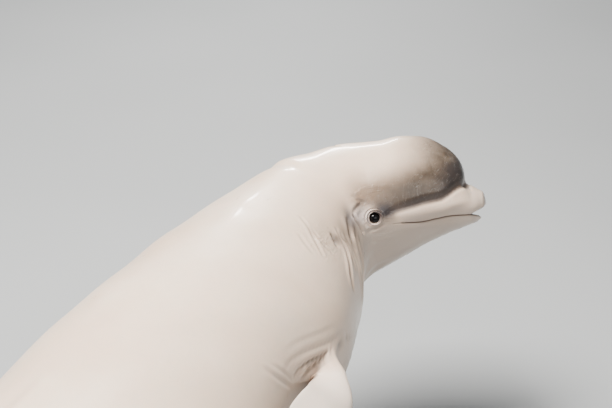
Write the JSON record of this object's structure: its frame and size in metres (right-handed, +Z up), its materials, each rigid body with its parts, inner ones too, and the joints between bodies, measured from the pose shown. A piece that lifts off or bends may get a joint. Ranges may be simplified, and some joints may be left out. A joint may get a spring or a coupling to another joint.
{
  "type": "beluga whale model",
  "caption": "Life-size still model of a white beluga whale, head turned to its right, carried over a flat dark base on short rods.",
  "frame": {"origin": "middle of the underside of the stand base, which is the face the model stands on", "axes": "+X along the trunk from the tail towards the head, +Y to the whale's left, +Z up; the head is turned to the whale's right, towards -Y"},
  "size_m": [3.7307, 1.0575, 1.051],
  "materials": {
    "skin": "smooth wet white skin with grey-brown shading on the melon front and round the eye",
    "eye": "glossy dark eyeball",
    "stand_board": "satin dark painted plate",
    "stand_steel": "brushed"
  },
  "bodies": {
    "root": {"head": "skin", "lower_jaw": "skin", "neck": "skin", "trunk": "skin", "tail_stock": "skin", "fluke_left": "skin", "fluke_right": "skin", "flipper_left": "skin", "flipper_right": "skin", "eye_left": "eye", "eye_right": "eye", "stand_base": "stand_board", "stand_rod_front": "stand_steel", "stand_rod_rear": "stand_steel"}
  },
  "joints": []
}
